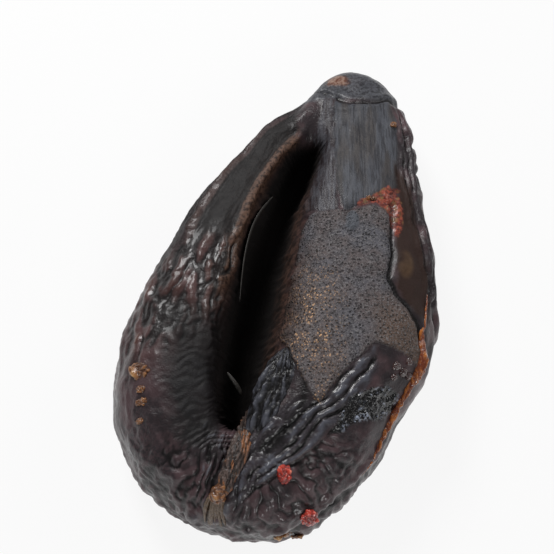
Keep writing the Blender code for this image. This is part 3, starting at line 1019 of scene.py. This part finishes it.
def slot_membrane(material):
    """A dried membrane on the slot's wall, whose free edge curls up: a thin blade along the wall, painted
    pale along its top edge as a highlight and dark underneath as shade.
    """
    route = [
        (-1.5, 41, 21.5), (-5.5, 34, 26), (-9.5, 26, 28.5), (-12.2, 16, 28), (-13.8, 5, 26), (-14.6, -5, 23),
    ]
    shape = carried_profile(route, [0.22] * 4, [1.0, 2.6, 3.0, 1.4], 120, 20)
    points, _, _, angle = shape
    lift = 0.25 * rough_noise(points / 4.0, 111, 2)
    # The ridge attribute is the height round the blade's profile: the material paints its top edge with a
    # pale painted highlight and its underside with painted shade.
    return carried_piece("slot_membrane", shape, lift, material, {"ridge": np.sin(angle)})


def bone_splinter(material):
    """The sharp end of a spine that sticks out of the slot's wall."""
    route = [(-19.0, -34.5, 26.0), (-17.0, -37.0, 25.0), (-14.6, -40.0, 22.5), (-13.4, -42.5, 20.5)]
    shape = carried_profile(route, [0.5, 0.75, 0.9, 0.5], [0.4, 0.5, 0.6, 0.4], 60, 20)
    lift = 0.15 * rough_noise(shape[0] / 1.5, 113, 2)
    return carried_piece("bone_splinter", shape, lift, material, {"ridge": lift})


def folded_skin_material():
    """Slate-dark folded skin, paler along the folds' tops as a painted highlight and black between them as
    painted shade.
    """
    r = Recipe("folded_skin", Coat_Weight=0.10, Coat_Roughness=0.12, Specular_IOR_Level=0.3)
    ridge = r.mask("ridge")
    fine = r.noise(1.0, 3, 0.6, shift=2.2)
    # Painted shade between the folds, and a painted highlight of pale slate on their tops.
    colour = r.mix((ridge + 0.5 * (fine - 0.5)).above(-0.5, 0.5), SOOT_AND_SHADE_BLACK, (0.074, 0.077, 0.095))
    colour = r.mix((ridge + 1.0 * (fine - 0.5)).above(0.3, 1.2) * 0.6, colour, PALE_SLATE)
    return r.finish(colour, 0.38 + 0.3 * (fine - 0.5), 0.25 * fine)


def fin_material():
    """Fibrous brown fin with orange-brown streaks along it, and black painted shade in the gaps between its
    fibres.
    """
    r = Recipe("fin_tissue", Coat_Weight=0.15, Coat_Roughness=0.2)
    ridge = r.mask("ridge")
    fine = r.noise(0.7, 3, 0.6, shift=5.2)
    streaks = r.noise(1.1, 3, 0.6, stretch=(1, 6, 3), shift=8.2)
    colour = r.mix(streaks.above(0.4, 0.6), (0.040, 0.026, 0.022), (0.115, 0.075, 0.062))
    orange = r.noise(3.2, 2, 0.5, stretch=(1, 3, 2), shift=3.1).above(0.50, 0.62)
    colour = r.mix(orange * streaks.above(0.42, 0.6), colour, (0.33, 0.13, 0.05))
    # Painted shade: black in the creases between the fibres.
    colour = r.mix(1.0 - ridge.above(-0.9, 0.0), colour, SOOT_AND_SHADE_BLACK)
    return r.finish(colour, 0.45 + 0.25 * (fine - 0.5), 0.3 * fine + 0.3 * streaks)


# Dried tissues: the colours in their creases (painted shade), between and on their crumples (a painted
# highlight), the coat, and the roughness.
TISSUES = {
    "red_flesh": ((0.20, 0.014, 0.010), (0.56, 0.045, 0.026), (0.80, 0.20, 0.12), 0.7, 0.34),
    "orange_flesh": ((0.14, 0.024, 0.008), (0.48, 0.150, 0.026), (0.66, 0.30, 0.09), 0.7, 0.25),
    "amber_tissue": ((0.08, 0.028, 0.012), (0.27, 0.110, 0.035), (0.47, 0.25, 0.095), 0.4, 0.34),
    "pale_fibre": ((0.06, 0.040, 0.026), (0.17, 0.115, 0.075), (0.36, 0.28, 0.20), 0.1, 0.34),
    "dry_bone": ((0.03, 0.028, 0.026), (0.09, 0.085, 0.078), (0.20, 0.19, 0.18), 0.2, 0.34),
    "blistered_skin": ((0.02, 0.010, 0.010), (0.085, 0.040, 0.038), (0.16, 0.09, 0.085), 1.0, 0.15),
}


def tissue_material(name):
    """Dried flesh: dark in its creases as painted shade, and paler towards the tops of its crumples as a
    painted highlight.
    """
    dark, middle, pale, coat, roughness = TISSUES[name]
    r = Recipe(name, Coat_Weight=coat, Coat_Roughness=0.08)
    ridge = r.mask("ridge")
    fine = r.noise(0.8, 3, 0.6, shift=1.2)
    colour = r.mix((ridge + 0.8 * (fine - 0.5)).above(-0.4, 0.3), dark, middle)
    colour = r.mix((ridge + 1.2 * (fine - 0.5)).above(0.35, 1.1), colour, pale)
    return r.finish(colour, roughness + 0.2 * (fine - 0.5), 0.25 * fine)


# Each crust's place and radii, and each blister's place and radius.
AMBER_CRUSTS = [
    ((-51.3, -37.7, 37.7), (3.4, 4.6, 1.1)), ((-50.6, -44.5, 38.0), (1.4, 2.0, 0.8)),
    ((-50.1, -49.5, 37.9), (1.5, 2.8, 0.8)), ((-50.7, -56.5, 36.3), (1.2, 1.8, 0.7)),
    ((3.1, -96.3, 17.3), (4.2, 2.6, 1.0)), ((8.8, -94.4, 12.6), (3.0, 3.2, 1.0)),
    ((46.9, 67.8, 31.6), (1.2, 1.6, 0.7)), ((36.5, 32.2, 39.0), (2.2, 0.8, 0.7)),
]
BLISTERS = [
    ((45.0, -36.9, 43.1), 1.7), ((47.8, -38.5, 40.5), 1.9), ((44.2, -41.3, 42.2), 1.4),
    ((49.4, -34.6, 40.5), 1.5), ((50.2, -39.5, 37.5), 1.6),
]


def build_small_pieces(skin):
    """Everything that stands clear of the skin."""
    tissue = {name: tissue_material(name) for name in TISSUES}
    amber, red, bone = tissue["amber_tissue"], tissue["red_flesh"], tissue["dry_bone"]
    nape_lobe()
    fin_strip()
    lump("amber_knob", skin, (-21.0, -83.6, 37.9), (3.1, 3.9, 2.6), 121, 0.55, amber, above=1.6)
    fin_fibres(skin, tissue["pale_fibre"])
    lump("red_crumb_upper", skin, (3.0, -77.4, 41.5), (2.8, 3.3, 2.2), 131, 0.7, red, above=0.8)
    lump("red_crumb_lower", skin, (11.5, -89.8, 29.9), (3.2, 3.6, 2.6), 137, 0.8, red, above=0.8)
    slit_flesh(skin, tissue["orange_flesh"])
    for number, (place, radii) in enumerate(AMBER_CRUSTS):
        lump(f"amber_crust_{number}", skin, place, radii, 151 + number, 0.30 * radii[0], amber)
    for number, (place, radius) in enumerate(BLISTERS):
        radii = (radius, radius, 0.8 * radius)
        lump(f"blister_{number}", skin, place, radii, 171 + number, 0.25, tissue["blistered_skin"])
    slot_membrane(bone)
    bone_splinter(bone)


# ---- The scene ----
def build_skin():
    """The fish's whole skin as one piece, in place of the solid."""
    skin = Skin()
    shape_skin(skin)
    faces = skin_faces(*skin.x.shape)
    piece = make_piece("fish_skin", skin.shaped, faces, skin_material(), skin_masks(skin))
    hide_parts(NODE)
    return skin


FLOOR_HALF_SIZE, FLOOR_BELOW = 3.0, 0.0004
FLOOR_WHITE = (0.86, 0.86, 0.86, 1.0)
FLOOR_GLOW = 0.88


def floor_material():
    """White, and mostly glowing where a camera, glossy or transmission ray meets it."""
    r = Recipe("white_floor", Base_Color=FLOOR_WHITE, Roughness=0.9)
    rays = r.tree.nodes.new("ShaderNodeLightPath")
    kinds = ("Is Camera Ray", "Is Glossy Ray", "Is Transmission Ray")
    share = FLOOR_GLOW * r.most(*[Value(r, rays.outputs[kind]) for kind in kinds])
    glow = r.node("ShaderNodeEmission", inputs={"Color": (1.0, 1.0, 1.0, 1.0)})
    lit = Value(r, r.shader.outputs[0])
    mixed = r.node("ShaderNodeMixShader", inputs={0: share, 1: lit, 2: glow})
    r.put(r.tree.nodes["Material Output"].inputs["Surface"], mixed)
    return r.material


def build_floor():
    """A wide, pale floor that the camera and reflections see as nearly white, with the fish's shadow."""
    mesh = bpy.data.meshes.new("floor")
    corners = [(-1, -1), (1, -1), (1, 1), (-1, 1)]
    points = [(x * FLOOR_HALF_SIZE, y * FLOOR_HALF_SIZE, -FLOOR_BELOW) for x, y in corners]
    mesh.from_pydata(points, [], [(0, 1, 2, 3)])
    mesh.materials.append(floor_material())
    floor = bpy.data.objects.new("floor", mesh)
    bpy.context.scene.collection.objects.link(floor)


def build_world():
    """An even, white and weak light from all round."""
    world = bpy.data.worlds.new("studio")
    bpy.context.scene.world = world
    world.use_nodes = True
    backdrop = world.node_tree.nodes["Background"]
    backdrop.inputs["Color"].default_value = (1.0, 1.0, 1.0, 1.0)
    backdrop.inputs["Strength"].default_value = 0.15


# Each softbox's place, size and watts. All face the same point in the fish.
SOFTBOXES = {
    "key_softbox": ((-0.22, 0.46, 0.52), 0.22, 3.7),
    "rim_softbox": ((0.44, 0.26, 0.42), 0.18, 0.6),
    "front_softbox": ((0.12, -0.56, 0.38), 0.18, 1.1),
}
SOFTBOX_TARGET = Vector((0.0, 0.0, 0.02))


def build_lamp(name, place, size, watts):
    """A square softbox at a place, turned to the fish."""
    light = bpy.data.lights.new(name, "AREA")
    light.shape = "SQUARE"
    light.size = size
    light.energy = watts
    lamp = bpy.data.objects.new(name, light)
    lamp.location = place
    lamp.rotation_euler = (SOFTBOX_TARGET - Vector(place)).to_track_quat("-Z", "Y").to_euler()
    bpy.context.scene.collection.objects.link(lamp)


CAMERA_ELEVATION = math.radians(70.0)
CAMERA_DISTANCE = 0.520
CAMERA_TARGET = Vector((0.0001, 0.0059, 0.022))
CAMERA_LENS = 85.0


def build_camera():
    """Looks down on the fish from the bend's side."""
    camera = bpy.data.objects.new("camera", bpy.data.cameras.new("camera"))
    camera.data.lens = CAMERA_LENS
    camera.data.sensor_width = 36.0
    camera.data.clip_start = 0.01
    back = Vector((0.0, -math.cos(CAMERA_ELEVATION), math.sin(CAMERA_ELEVATION)))
    camera.location = CAMERA_TARGET + CAMERA_DISTANCE * back
    camera.rotation_euler = (-back).to_track_quat("-Z", "Y").to_euler()
    bpy.context.scene.collection.objects.link(camera)
    bpy.context.scene.camera = camera


skin = build_skin()
build_small_pieces(skin)
build_floor()
build_world()
for name, (place, size, watts) in SOFTBOXES.items():
    build_lamp(name, place, size, watts)
build_camera()
bpy.context.scene.view_settings.view_transform = "Standard"
